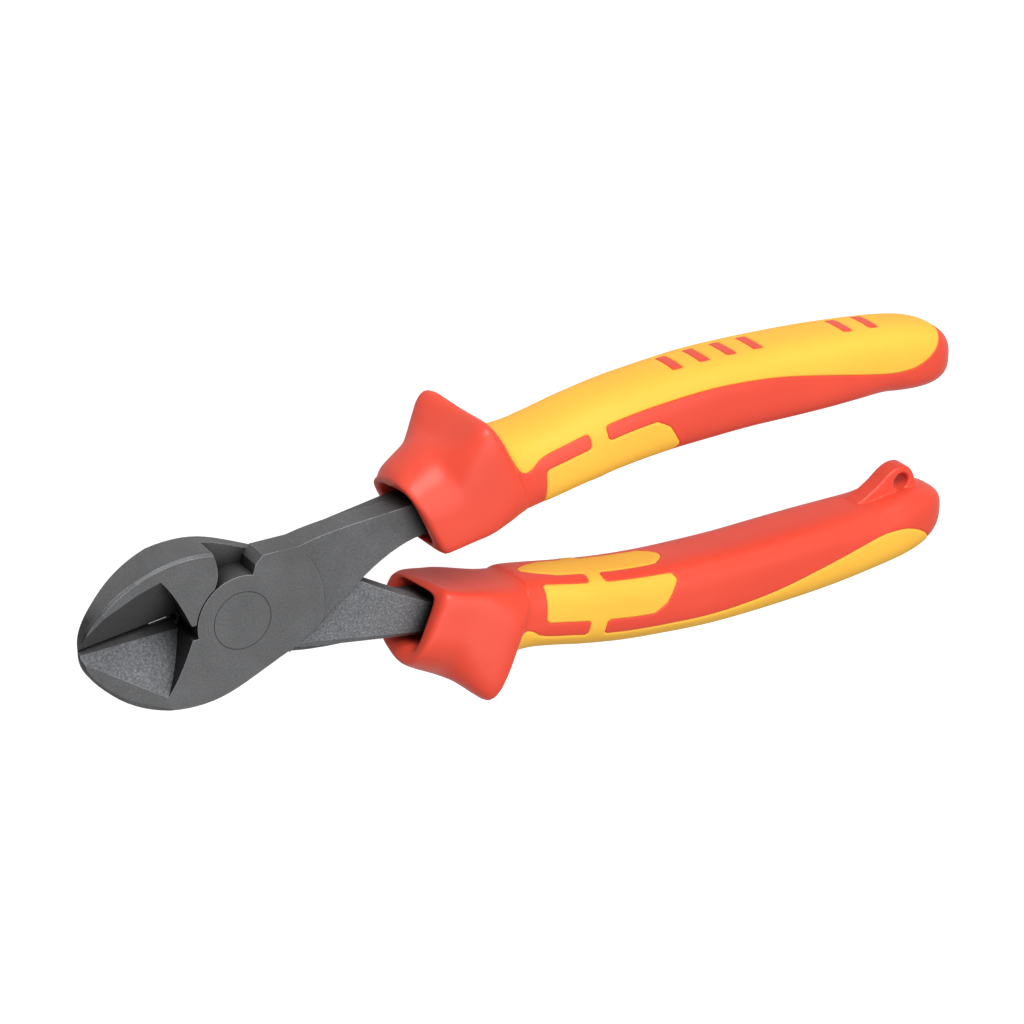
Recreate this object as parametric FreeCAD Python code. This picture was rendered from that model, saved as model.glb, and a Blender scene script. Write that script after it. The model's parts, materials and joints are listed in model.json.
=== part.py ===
"""Heavy-duty diagonal cutting pliers with two-colour insulated handles, in millimetres.

Two forged levers cross in a lap joint and turn on one flush rivet. The front lever carries
the lower jaw and the upper handle; the rear lever carries the upper jaw and the lower handle.
Each tang is covered by a liner, a hard sleeve with a slip guard, and a soft overmoulded grip.

Frame: X along the tool towards the handles, Y across it towards the upper handle, Z along the
pivot. The solids are drawn about the lap plane and lifted on export, so that the origin is on
the pivot axis at the rear face of the head. The jaws are closed.
"""

import FreeCAD, Part
import math
import os

V = FreeCAD.Vector

# Overall
HEAD_HALF = 6.0            # half the head's thickness
LAP_GAP = 0.04             # clearance between the two plates of the lap joint
TIP_X = -31.5              # jaw tip, from the pivot
HANDLE_END_X = 168.5       # far end of both handles, from the pivot
FAR = 30.0                 # beyond every face of the head and handles, for cutting shapes

# Joint
RIVET_HEAD_R = 5.9
RIVET_HEAD_DEPTH = 3.0
RIVET_SHAFT_R = 4.5
RIVET_FLARE_R = 5.6        # rear end of the rivet, spread into a countersink
RIVET_FLARE_DEPTH = 1.6
RIVET_SEAT_GAP = 0.02      # radial, in the front lever, which holds the rivet
RIVET_RUN_GAP = 0.05       # radial, in the rear lever, which turns on the rivet
BOSS_R = 9.3               # round edge of each plate, about the pivot
SHOULDER_GAP = 0.3         # between a jaw's shoulder and the other lever's boss
RING_R = 17.2              # edge of the flat ground face round the pivot
RING_STEP = 0.25           # step from the ground face down to the neck

# Jaws
EDGE_Z_TIP = 1.3           # height of the cutting edges at the tip
EDGE_Z_HEEL = -3.3         # and at the heel
HEEL_X = -9.9              # heel of the cutting edges
EDGE_FALL = (EDGE_Z_HEEL - EDGE_Z_TIP) / (HEEL_X - TIP_X)
BEVEL_SLOPE = 1.45         # rise over run of the cutting bevel
FLOOR_SLOPE = 0.55         # rise over run of the hollow's floor
FLOOR_Z_TIP = 1.85         # height of the floor's plane over the cutting line, at the tip
FLOOR_FALL = -0.167        # its fall towards the heel
BACK_SLOPE = 0.95          # rise over run of the bevel on the rear side
EDGE_LAND = 0.2            # height of the flat land that meets the other jaw's
SLOT_X = (-15.8, -10.9)    # ends of the slot where the edges don't touch
SLOT_HALF = 0.26
HEEL_NOTCH_X = -10.7       # behind this the jaws stand apart at the front
HEEL_NOTCH_HALF = 1.5
HEEL_NOTCH_Z = -2.0
JAW_GAP = 0.02             # half the gap between the closed edges
# Tapers of the jaws' faces: from x at full thickness, on through (x, z) to the tip
UPPER_FRONT_TAPER = ((-21.0, HEAD_HALF), (-27.5, 5.1), (TIP_X, 3.3))
LOWER_FRONT_TAPER = ((-15.5, HEAD_HALF), (TIP_X, 2.9))
REAR_TAPER = ((-15.5, -HEAD_HALF), (TIP_X, -1.9))

# Necks and tangs
NECK_HALF = 4.5            # half thickness where the neck enters the sleeve
NECK_END_X = 41.0
NECK_BEVEL = 1.1           # height of the bevel on the neck's outer rear edge
BEVEL_LEAN = 1.0
TANG_LINE = ((41.0, 11.2), (50.0, 13.6), (65.0, 16.2), (80.0, 19.1), (95.0, 20.8),
             (110.0, 21.4), (130.0, 21.1), (152.0, 19.7))
TANG_SIZES = ((41.0, 3.6, 4.4), (70.0, 3.6, 3.9), (110.0, 3.1, 3.4), (152.0, 2.5, 2.8))
LINER_WALL = 1.3
LINER_START_X = 46.0

# Handles
CENTRE_LINE = ((37.9, 11.6), (50.0, 13.9), (65.0, 16.2), (80.0, 19.1), (95.0, 20.8),
               (110.0, 21.4), (130.0, 21.1), (150.0, 19.9), (168.8, 17.2))
GRIP_DEPTH = 1.4           # how deep the soft grip sits in the hard sleeve
BAR_WIDTH = 3.2            # red bars left between the soft grip's fields
SECTION_POINTS = 28

# Tether eye on the lower handle
EYE_X = 158.0              # hole centre
EYE_Y = -10.2
EYE_R = 1.85
EYE_THICK = 4.0
EYE_RELIEF = 0.35          # radial, where the handle beside the fin gives the hole way
EYE_OUTLINE = ((-14.5, -5.5), (-12.0, -3.2), (-8.5, -1.2), (-5.4, 1.0), (-2.6, 3.0),
               (0.2, 3.7), (2.6, 2.8), (3.9, 0.2), (4.9, -3.0), (6.0, -6.0))


# ---------------------------------------------------------------- helpers

def spline(points):
    curve = Part.BSplineCurve()
    curve.interpolate([V(*p) for p in points])
    return curve.toShape()


def line(a, b):
    return Part.makeLine(V(*a), V(*b))


def prism(edges, z0, z1):
    """Closed outline of edges in the z = 0 plane, extruded from z0 to z1."""
    wire = Part.Wire(Part.__sortEdges__(edges))
    face = Part.Face(wire)
    face.translate(V(0, 0, z0))
    return face.extrude(V(0, 0, z1 - z0))


def polygon_prism(points, z0, z1):
    wire = Part.makePolygon([V(x, y, z0) for x, y in points + [points[0]]])
    return Part.Face(wire).extrude(V(0, 0, z1 - z0))


def disc(radius, z0, z1, x=0.0, y=0.0):
    return Part.makeCylinder(radius, z1 - z0, V(x, y, z0))


def mirror_y(shape):
    return shape.mirror(V(0, 0, 0), V(0, 1, 0))


def turn_over(shape):
    """The half turn about X that carries one lever's plate onto the other's."""
    turned = shape.copy()
    turned.rotate(V(0, 0, 0), V(1, 0, 0), 180)
    return turned


def half_space(point, normal, size=120.0):
    """Block on the side of a plane that its normal points to."""
    block = Part.makeBox(2 * size, 2 * size, size, V(-size, -size, 0))
    turn = FreeCAD.Rotation(V(0, 0, 1), V(*normal))
    block.Placement = FreeCAD.Placement(V(*point), turn).multiply(block.Placement)
    return block


def follow(table, x):
    """Smooth value at x through a table of (x, value) pairs."""
    xs = [p[0] for p in table]
    if x <= xs[0]:
        return table[0][1]
    if x >= xs[-1]:
        return table[-1][1]
    i = max(k for k in range(len(xs) - 1) if xs[k] <= x)

    def slope(k):
        lo, hi = max(k - 1, 0), min(k + 1, len(xs) - 1)
        return (table[hi][1] - table[lo][1]) / (xs[hi] - xs[lo])

    step = xs[i + 1] - xs[i]
    t = (x - xs[i]) / step
    a, b = table[i][1], table[i + 1][1]
    return (a * (1 + 2 * t) * (1 - t) ** 2 + b * t * t * (3 - 2 * t)
            + step * (slope(i) * t * (1 - t) ** 2 - slope(i + 1) * t * t * (1 - t)))


# ---------------------------------------------------------------- jaws

JAW_OUTLINE = ((TIP_X, 1.0), (-30.8, 4.2), (-27.5, 8.6), (-24.3, 11.4), (-19.6, 13.9),
               (-14.5, 15.3), (-9.5, 15.7), (-4.6, 15.1), (0.3, 13.4), (5.0, 11.3), (9.5, 9.3))
JAW_ROOT = JAW_OUTLINE[-1]
THROAT = ((-16.2, 12.3), (-14.0, 9.1), (-11.7, 4.6), (-9.8, 0.0))
SHOULDER_TOP = ((-6.2, 19.0), (-4.9, 13.6), (-4.6, 11.6), (-5.4, 8.0))
FRONT_CHAMFER = 0.45       # round the outer edge of each jaw
REAR_CHAMFER = 3.0


def jaw_blank(front_taper):
    """Upper jaw as a thick plate down to the cutting plane, with tapered faces."""
    edges = [spline([(x, y, 0) for x, y in JAW_OUTLINE]),
             line((*JAW_ROOT, 0), (JAW_ROOT[0], JAW_GAP, 0)),
             line((JAW_ROOT[0], JAW_GAP, 0), (TIP_X, JAW_GAP, 0)),
             line((TIP_X, JAW_GAP, 0), (*JAW_OUTLINE[0], 0))]
    blank = prism(edges, -HEAD_HALF, HEAD_HALF)
    for side, taper in ((1, front_taper), (-1, REAR_TAPER)):
        for (x0, z0), (x1, z1) in zip(taper, taper[1:]):
            slope = (z1 - z0) / (x1 - x0)
            blank = blank.cut(half_space((x0, 0, z0), (-side * slope, 0, side)))
    for side, size in ((1, FRONT_CHAMFER), (-1, REAR_CHAMFER)):
        rim = [e for e in blank.Edges if on_outer_rim(e, side)]
        blank = blank.makeChamfer(size, rim)
    return blank


def on_outer_rim(edge, side):
    """True for an edge between the jaw's outer wall and its front or rear face."""
    halfway = (edge.FirstParameter + edge.LastParameter) / 2
    middle = edge.valueAt(halfway)
    heading = edge.tangentAt(halfway)
    along_face = abs(heading.z) < 0.5 and abs(heading.y) < 0.99
    return along_face and side * middle.z > 1.5 and middle.y > 2.5


def hollow():
    """What the front of the upper jaw loses to the cutting bevel and the hollow's floor."""
    far_x = TIP_X - FAR
    reach = prism([
        spline([(x, y, 0) for x, y in THROAT]),
        line((*THROAT[0], 0), (THROAT[0][0], FAR, 0)),
        line((THROAT[0][0], FAR, 0), (far_x, FAR, 0)),
        line((far_x, FAR, 0), (far_x, 0, 0)),
        line((far_x, 0, 0), (*THROAT[-1], 0)),
    ], -FAR, FAR)
    bevel = half_space((TIP_X, JAW_GAP, EDGE_Z_TIP), (-EDGE_FALL, -BEVEL_SLOPE, 1))
    floor = half_space((TIP_X, 0, FLOOR_Z_TIP), (-FLOOR_FALL, -FLOOR_SLOPE, 1))
    back = half_space((TIP_X, JAW_GAP, EDGE_Z_TIP - EDGE_LAND), (EDGE_FALL, -BACK_SLOPE, -1))
    return reach.common(bevel.fuse(floor)), reach.common(back)


def finished_jaw(front_taper):
    """Upper jaw with its chamfers, the slot between the edges and the notch at their heel."""
    start, end = SLOT_X
    slot = Part.makeBox(end - start, SLOT_HALF, 2 * HEAD_HALF, V(start, 0, -HEAD_HALF))
    notch = Part.makeBox(-HEEL_NOTCH_X, HEEL_NOTCH_HALF, 2 * HEAD_HALF,
                         V(HEEL_NOTCH_X, 0, HEEL_NOTCH_Z))
    return jaw_blank(front_taper).cut(slot).cut(notch)


# ---------------------------------------------------------------- levers

NECK_INNER = ((26.5, 2.4), (31.0, 5.0), (36.0, 6.9), (NECK_END_X, 7.6))
PLATE_OUTER = ((NECK_END_X, 14.9), (30.0, 14.1), (20.0, 13.6), (12.4, 12.5))
DIAGONAL_GAP = 0.3         # between a plate's diagonal edge and the other lever's neck
BACK_INNER = ((25.5, -1.3), (33.5, 3.6), (NECK_END_X, 7.6))
BACK_OUTER = ((NECK_END_X, 14.9), (30.5, 13.4), (20.5, 12.0))
NOTCH = ((4.9, 12.5), (3.2, 10.9))


def plate_prism(z0, z1):
    """Outline of the front plate's neck, from the pivot's centre to the mouth of the sleeve."""
    root = (JAW_ROOT[0], -JAW_ROOT[1], 0)
    inside = (0.0, 0.0, 0)
    return prism([
        line(inside, root),
        line(root, (*NECK_INNER[0], 0)),
        spline([(x, y, 0) for x, y in NECK_INNER]),
        line((*NECK_INNER[-1], 0), (*PLATE_OUTER[0], 0)),
        spline([(x, y, 0) for x, y in PLATE_OUTER]),
        line((*PLATE_OUTER[-1], 0), (*NOTCH[0], 0)),
        line((*NOTCH[0], 0), (*NOTCH[1], 0)),
        line((*NOTCH[1], 0), inside),
    ], z0, z1)


def plate():
    """Front lever between the lap plane and the front face: the boss and the neck."""
    body = plate_prism(LAP_GAP / 2, HEAD_HALF).fuse(disc(BOSS_R, LAP_GAP / 2, HEAD_HALF))
    fall = (HEAD_HALF - RING_STEP - NECK_HALF) / (NECK_END_X - RING_R)
    above = half_space((RING_R, 0, HEAD_HALF - RING_STEP), (fall, 0, 1))
    return body.cut(above.cut(disc(RING_R, -FAR, FAR)))


def neck_bevel():
    """Bevel along the outer rear edge of the neck."""
    (x0, y0), (x1, y1) = JAW_ROOT, BACK_OUTER[0]
    slope = (y1 - y0) / (x1 - x0)
    return half_space((x0, y0, -NECK_HALF + NECK_BEVEL), (-slope, 1, -BEVEL_LEAN))


def neck_back():
    """Part of the front lever's neck behind the lap plane, beyond the other plate."""
    run, rise = NECK_INNER[0][0] - JAW_ROOT[0], NECK_INNER[0][1] + JAW_ROOT[1]
    length = math.hypot(run, rise)
    corner = (JAW_ROOT[0] + DIAGONAL_GAP * rise / length,
              JAW_ROOT[1] + DIAGONAL_GAP * run / length, 0)
    edges = [
        line(corner, (*BACK_INNER[0], 0)),
        spline([(x, y, 0) for x, y in BACK_INNER]),
        line((*BACK_INNER[-1], 0), (*BACK_OUTER[0], 0)),
        spline([(x, y, 0) for x, y in BACK_OUTER] + [corner]),
    ]
    bridge = prism(edges, -LAP_GAP / 2, LAP_GAP / 2)
    bridge = bridge.common(plate_prism(-LAP_GAP / 2, LAP_GAP / 2))
    return prism(edges, -NECK_HALF, -LAP_GAP / 2).fuse(bridge).cut(neck_bevel())


def tang():
    """Tapered bar inside the upper handle."""
    sections = []
    for x, half_y, half_z in TANG_SIZES:
        y = follow(TANG_LINE, x)
        corners = [V(x, y + sy * half_y, sz * half_z)
                   for sy, sz in ((1, 1), (-1, 1), (-1, -1), (1, -1))]
        sections.append(Part.makePolygon(corners + corners[:1]))
    return Part.makeLoft(sections, True, True)


def shoulder_cut():
    """Room in the lower jaw for the rear plate: its boss circle and the notch beyond it."""
    ring = disc(BOSS_R + SHOULDER_GAP, -FAR, LAP_GAP / 2)
    wall = [(x, -y, 0) for x, y in SHOULDER_TOP]
    edges = [
        spline(wall),
        line(wall[-1], (0, 0, 0)),
        line((0, 0, 0), (FAR, 0, 0)),
        line((FAR, 0, 0), (FAR, wall[0][1], 0)),
        line((FAR, wall[0][1], 0), wall[0]),
    ]
    return ring.fuse(prism(edges, -FAR, LAP_GAP / 2))


def lever(jaw, cuts):
    """A lever without its rivet hole: plate, jaw, neck and tang."""
    body = plate().fuse(jaw.cut(shoulder_cut()))
    for cut in cuts:
        body = body.cut(cut)
    return body.fuse(neck_back()).fuse(tang()).removeSplitter()


def rivet_envelope(gap):
    head = disc(RIVET_HEAD_R + gap, HEAD_HALF - RIVET_HEAD_DEPTH - gap, HEAD_HALF + 1)
    shaft = disc(RIVET_SHAFT_R + gap, -HEAD_HALF - 1, HEAD_HALF)
    flare = Part.makeCone(RIVET_FLARE_R + gap, RIVET_SHAFT_R + gap, RIVET_FLARE_DEPTH,
                          V(0, 0, -HEAD_HALF))
    return head.fuse([shaft, flare])


def pivot_rivet():
    return rivet_envelope(0.0).common(disc(FAR, -HEAD_HALF, HEAD_HALF)).removeSplitter()


# ---------------------------------------------------------------- handles

def section(x, centre, out, inner, half_z, power, slant=0.0):
    """Closed rounded outline across a handle: out and inner are its reaches in Y."""
    points = []
    for k in range(SECTION_POINTS):
        t = 2 * math.pi * k / SECTION_POINTS
        c, s = math.cos(t), math.sin(t)
        reach = out if c > 0 else inner
        dy = math.copysign(abs(c) ** (2 / power), c) * reach
        dz = math.copysign(abs(s) ** (2 / power), s) * half_z
        points.append(V(x - slant * dy, centre + dy, dz))
    curve = Part.BSplineCurve()
    curve.interpolate(Points=points, PeriodicFlag=True)
    return Part.Wire(curve.toShape())


# x, reach outwards, reach inwards, half thickness, of the grip behind the guard
GRIP_SIZES = ((52.0, 8.1, 7.6, 9.0), (60.0, 8.1, 7.7, 9.0), (75.0, 8.2, 7.8, 9.0),
              (95.0, 8.4, 8.0, 9.0), (115.0, 8.5, 8.0, 8.8), (135.0, 8.5, 7.9, 8.5),
              (150.0, 8.3, 7.6, 7.9))
GRIP_POWER = 2.6           # roundness of the grip's section
END_POWER = 3.2            # roundness of the handle's end, seen from the side
END_STEPS = (0.35, 0.6, 0.78, 0.9, 0.97, 0.995)


def grip_sections(shrink=0.0):
    """Outlines of the grip, less an even depth, with a rounded end."""
    wires = []
    for x, out, inner, half_z in GRIP_SIZES:
        wires.append(section(x, follow(CENTRE_LINE, x), out - shrink, inner - shrink,
                             half_z - shrink, GRIP_POWER))
    start, out, inner, half_z = GRIP_SIZES[-1]
    length = HANDLE_END_X - start - shrink
    for step in END_STEPS:
        x = start + length * step
        size = (1 - step ** END_POWER) ** (1 / GRIP_POWER)
        wires.append(section(x, follow(CENTRE_LINE, x), (out - shrink) * size,
                             (inner - shrink) * size, (half_z - shrink) * size, GRIP_POWER))
    return wires


def grip_body(shrink=0.0):
    return Part.makeLoft(grip_sections(shrink), True, False)


MOUTH_X = 38.2             # open end of the guard
MOUTH_SLANT = 0.38         # lean of its mouth: run in X over reach in Y
RIM_X = 54.0               # widest part of the guard
RIM_SLANT = 0.41
COLLAR_POWER = 5.0         # squareness of the guard's section and of the pocket in it
POCKET_LAP = 2.8           # the pocket runs this far past the start of the liner


def guard():
    """Slip guard: a collar round the neck that flares out to a rim, then steps back."""
    flare = [
        section(MOUTH_X, 11.4, 6.4, 6.6, 9.5, COLLAR_POWER, MOUTH_SLANT),
        section(42.8, 12.7, 7.9, 6.9, 10.0, COLLAR_POWER, MOUTH_SLANT),
        section(48.3, 15.1, 10.0, 8.0, 11.0, COLLAR_POWER, MOUTH_SLANT),
        section(RIM_X, 18.2, 12.1, 10.1, 11.8, COLLAR_POWER, RIM_SLANT),
    ]
    rear = [
        flare[-1],
        section(RIM_X + 1.9, 18.3, 10.2, 9.6, 11.1, 4.4, RIM_SLANT),
        section(RIM_X + 5.7, 15.6, 8.1, 7.8, 9.0, GRIP_POWER, RIM_SLANT / 2),
    ]
    return Part.makeLoft(flare, True, False).fuse(Part.makeLoft(rear, True, True))


def mouth_pocket():
    """Open space round the neck inside the collar."""
    mouth = section(MOUTH_X - 3.0, 10.3, 5.4, 5.4, 6.3, COLLAR_POWER, MOUTH_SLANT)
    bottom = section(LINER_START_X + POCKET_LAP, 12.7, 5.1, 5.1, 6.0, COLLAR_POWER, MOUTH_SLANT)
    return Part.makeLoft([mouth, bottom], True, True)


# The liner's sections have round corners, so they reach further than its wall is thick
LINER_REACH = 1.25 * LINER_WALL
LINER_START_SIZE = (LINER_START_X, 4.2, 4.3)


def liner_body():
    """First insulation layer with the tang still inside it."""
    wires = []
    for x, half_y, half_z in (LINER_START_SIZE,) + TANG_SIZES[1:]:
        wide, tall = half_y + LINER_REACH, half_z + LINER_REACH
        wires.append(section(x, follow(CENTRE_LINE, x), wide, wide, tall, COLLAR_POWER))
    x, half_y, half_z = TANG_SIZES[-1]
    end, wide, tall = x + LINER_WALL, half_y + LINER_WALL, half_z + LINER_WALL
    wires.append(section(end, follow(CENTRE_LINE, end), wide, wide, tall, COLLAR_POWER))
    return Part.makeLoft(wires, True, True)


# Edge of the soft grip's outer band, seen along Z, from the guard to the handle's end
BAND_EDGE = ((53.0, 27.0), (56.5, 22.0), (59.6, 19.4), (62.5, 20.6), (68.0, 21.7),
             (78.0, 23.4), (90.0, 24.9), (104.0, 25.4), (120.0, 24.3), (135.0, 21.6),
             (146.0, 19.0), (154.0, 18.0), (160.0, 19.4), (163.6, 22.2), (166.2, 27.5))
PATCH_X = (65.8, 96.0)     # the side field, from its square end to its raked end
PATCH_RAKE = (5.6, 6.6)    # how far the raked end leans in X over its height in Y
PATCH_FLOOR_Y = -10.0      # below the handle's inner face
BRIDGE_X = (76.2, 79.0)    # joins the band, the side field and the inner field
BRIDGE_TOP = (75.6, 27.0)
INNER_BAR_Z = (4.1, 6.4)   # heights of the red bar between the side and inner fields
INNER_X = (64.0, 97.0)     # the inner field, from its pointed end to its round end
INNER_POINT = 7.0          # length of its pointed end
INNER_REACH = 3.0          # the inner fields lie this far inwards of the centre line
GRIP_START = (56.2, 19.4)  # the soft grip lies behind this point of the guard's rim


def band_region():
    """Everything outwards of the band's edge."""
    (x0, y0), (x1, y1) = BAND_EDGE[0], BAND_EDGE[-1]
    top = y1 + FAR
    return prism([
        spline([(x, y, 0) for x, y in BAND_EDGE]),
        line((x1, y1, 0), (x1, top, 0)),
        line((x1, top, 0), (x0, top, 0)),
        line((x0, top, 0), (x0, y0, 0)),
    ], -FAR, FAR)


def patch_region():
    """Side fields, front and rear: one square end, one raked end, a red bar below the band."""
    x0, x1 = PATCH_X
    lean, drop = PATCH_RAKE
    upper = [(x, follow(BAND_EDGE, x) - BAR_WIDTH, 0) for x in (x0, 74.0, 82.0, x1 - lean)]
    rake_end = (x1, upper[-1][1] - drop, 0)
    floor_end = (x1, PATCH_FLOOR_Y, 0)
    side = prism([
        spline(upper),
        line(upper[-1], rake_end),
        line(rake_end, floor_end),
        line(floor_end, (x0, PATCH_FLOOR_Y, 0)),
        line((x0, PATCH_FLOOR_Y, 0), upper[0]),
    ], -FAR, FAR)
    bar_z = INNER_BAR_Z[1]
    between_bars = Part.makeBox(2 * x1, 2 * FAR, 2 * bar_z, V(0, -FAR, -bar_z))
    return side.cut(between_bars.common(inner_side()))


def bridge_region():
    """Narrow strips that join the band, the side fields and the inner field."""
    (x0, x1), (top_x, top_y) = BRIDGE_X, BRIDGE_TOP
    return polygon_prism([(x0, PATCH_FLOOR_Y), (x1, PATCH_FLOOR_Y), (x1, top_y),
                          (top_x, top_y)], -FAR, FAR)


def inner_side():
    """Space on the inner side of the handle, along the inner fields."""
    edge = [(x, follow(CENTRE_LINE, x) - INNER_REACH) for x in (50, 65, 80, 95, 110)]
    return polygon_prism(edge + [(edge[-1][0], -FAR), (edge[0][0], -FAR)], -FAR, FAR)


def inner_field():
    """Field on the inner face of the handle: pointed at the guard end, round at the other."""
    z = INNER_BAR_Z[0]
    x0, x1 = INNER_X
    lead = x0 + INNER_POINT
    knee = x0 + 0.43 * INNER_POINT
    edges = [
        Part.Arc(V(x1 - z, 0, z), V(x1, 0, 0), V(x1 - z, 0, -z)).toShape(),
        line((x1 - z, 0, -z), (lead, 0, -z)),
        spline([(lead, 0, -z), (knee, 0, -0.7 * z), (x0, 0, 0), (knee, 0, 0.7 * z),
                (lead, 0, z)]),
        line((lead, 0, z), (x1 - z, 0, z)),
    ]
    face = Part.Face(Part.Wire(Part.__sortEdges__(edges)))
    face.translate(V(0, -FAR, 0))
    return face.extrude(V(0, 2 * FAR, 0)).common(inner_side())


def soft_grip():
    """Soft overmould: an outer band, side fields and an inner field, joined by bridges."""
    skin = grip_body().cut(grip_body(GRIP_DEPTH))
    behind_guard = half_space((*GRIP_START, 0), (1, RIM_SLANT, 0))
    region = band_region().fuse([patch_region(), bridge_region(), inner_field()])
    return skin.common(behind_guard).common(region)


def sleeve(liner, grip):
    body = guard().fuse(grip_body())
    return body.cut(liner).cut(mouth_pocket()).cut(grip)


def with_tether_eye(handle):
    """Adds a fin with a lanyard hole to the inner face of the lower handle."""
    outline = [(EYE_X + x, EYE_Y + y, 0) for x, y in EYE_OUTLINE]
    fin = prism([spline(outline), line(outline[-1], outline[0])],
                -EYE_THICK / 2, EYE_THICK / 2)
    hole = disc(EYE_R, -EYE_THICK, EYE_THICK, EYE_X, EYE_Y)
    wide = EYE_R + EYE_RELIEF
    front_relief = disc(wide, EYE_THICK / 2, FAR, EYE_X, EYE_Y)
    rear_relief = disc(wide, -FAR, -EYE_THICK / 2, EYE_X, EYE_Y)
    return handle.fuse(fin).cut(hole).cut(front_relief).cut(rear_relief)


# ---------------------------------------------------------------- assembly

def write(name, shape):
    solid = shape.copy()
    solid.translate(V(0, 0, HEAD_HALF))
    solids = solid.Solids
    solid = solids[0] if len(solids) == 1 else Part.makeCompound(solids)
    solid.exportStep(os.path.join("parts", name + ".step"))
    print(name, len(solids), solid.isValid(), round(solid.Volume, 1))


def main():
    os.makedirs("parts", exist_ok=True)
    cuts = hollow()
    lower_jaw = mirror_y(finished_jaw(LOWER_FRONT_TAPER))
    upper_jaw = turn_over(finished_jaw(UPPER_FRONT_TAPER))
    front = lever(lower_jaw, [mirror_y(cut) for cut in cuts])
    rear = turn_over(lever(upper_jaw, [turn_over(cut) for cut in cuts]))
    write("front_lever", front.cut(rivet_envelope(RIVET_SEAT_GAP)))
    write("rear_lever", rear.cut(rivet_envelope(RIVET_RUN_GAP)))
    write("pivot_rivet", pivot_rivet())

    liner = liner_body()
    grip = soft_grip()
    hard = sleeve(liner, grip)
    write("upper_tang_liner", liner.cut(tang()))
    write("upper_soft_grip", grip)
    write("upper_sleeve", hard)
    write("lower_tang_liner", mirror_y(liner.cut(tang())))
    write("lower_soft_grip", mirror_y(grip))
    write("lower_sleeve", with_tether_eye(mirror_y(hard)))


main()
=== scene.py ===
import json
import math
import bpy
import numpy as np
from mathutils import Matrix, Vector

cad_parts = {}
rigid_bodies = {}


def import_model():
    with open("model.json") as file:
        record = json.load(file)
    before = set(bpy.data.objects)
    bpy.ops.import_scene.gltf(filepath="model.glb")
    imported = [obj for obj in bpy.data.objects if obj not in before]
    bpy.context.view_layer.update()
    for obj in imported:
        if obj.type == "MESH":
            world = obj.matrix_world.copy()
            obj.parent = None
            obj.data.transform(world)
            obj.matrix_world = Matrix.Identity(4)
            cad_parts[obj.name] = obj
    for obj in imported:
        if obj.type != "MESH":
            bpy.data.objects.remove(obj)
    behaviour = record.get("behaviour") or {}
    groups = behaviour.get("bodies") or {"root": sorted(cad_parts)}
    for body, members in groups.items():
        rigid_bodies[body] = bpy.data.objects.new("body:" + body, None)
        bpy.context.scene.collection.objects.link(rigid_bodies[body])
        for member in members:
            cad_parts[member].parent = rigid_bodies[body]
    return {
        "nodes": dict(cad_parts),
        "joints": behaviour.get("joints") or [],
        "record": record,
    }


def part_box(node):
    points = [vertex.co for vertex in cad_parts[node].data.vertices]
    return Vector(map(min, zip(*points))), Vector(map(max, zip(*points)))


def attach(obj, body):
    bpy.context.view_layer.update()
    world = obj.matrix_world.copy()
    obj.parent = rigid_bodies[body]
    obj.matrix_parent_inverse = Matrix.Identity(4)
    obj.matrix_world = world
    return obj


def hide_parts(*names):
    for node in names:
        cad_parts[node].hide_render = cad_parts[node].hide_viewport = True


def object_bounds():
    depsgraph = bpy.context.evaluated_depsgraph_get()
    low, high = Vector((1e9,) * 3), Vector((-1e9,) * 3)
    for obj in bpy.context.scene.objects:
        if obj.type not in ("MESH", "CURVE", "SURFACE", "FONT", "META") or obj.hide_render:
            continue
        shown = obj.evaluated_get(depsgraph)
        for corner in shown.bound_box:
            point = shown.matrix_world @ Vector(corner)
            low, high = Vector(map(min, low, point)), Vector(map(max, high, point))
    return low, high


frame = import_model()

CAD_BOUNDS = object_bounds()
JOINT = frame["joints"][0]
PIVOT = np.array(JOINT["pos_m"])
NODES = frame["nodes"]
MM = 0.001


def reach(node, axis, top=True):
    """Highest or lowest coordinate of a CAD node along an axis, in mm from the pivot."""
    return (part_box(node)[1 if top else 0][axis] - PIVOT[axis]) / MM


ALONG = 0                  # the frame's x axis, which runs along the tool
HANDLE_END = reach("upper_sleeve", ALONG)
LINER_END = reach("upper_tang_liner", ALONG)
LINER_START = reach("upper_tang_liner", ALONG, False)
RIVET_R = reach("pivot_rivet", ALONG)

# ------------------------------------------------------------------ handle outline
# Columns: x of the section's centre, y of its centre, reach outwards, reach inwards,
# half thickness, squareness of the outer and inner halves, slant of the section, how far its
# front is set back per mm of z, how much wider it is at the front than in the middle, and how
# much wider at both corners than in the middle.
X, Y, OUT, INN, HALF, P_OUT, P_IN, SLANT, LEAN, WIDE, HORN = range(11)
LENGTHS = slice(X, HALF + 1)
# The bore for the tang's liner, from its blind end towards the mouth.
BORE = [
    (LINER_END + 0.1, 19.62, 0.6, 0.6, 0.6, 3.0, 3.0, 0.0),
    (LINER_END + 0.05, 19.62, 2.6, 2.6, 2.9, 4.0, 4.0, 0.0),
    (LINER_END - 0.6, 19.66, 4.1, 4.1, 4.4, 5.0, 5.0, 0.0),
    (140.0, 20.5, 4.5, 4.5, 4.8, 5.0, 5.0, 0.0),
    (110.0, 21.4, 4.8, 4.8, 5.1, 5.0, 5.0, 0.0),
    (70.0, 17.2, 5.3, 5.3, 5.6, 5.0, 5.0, 0.0),
    (LINER_START + 2.0, 13.0, 5.5, 5.5, 6.0, 5.0, 5.0, 0.3),
]
# The narrowest section of the mouth that the neck comes out of.
MOUTH = [
    (42.5, 11.9, 5.4, 5.5, 6.2, 6.5, 6.5, 0.38, 0.10, 0.10),
]
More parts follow.
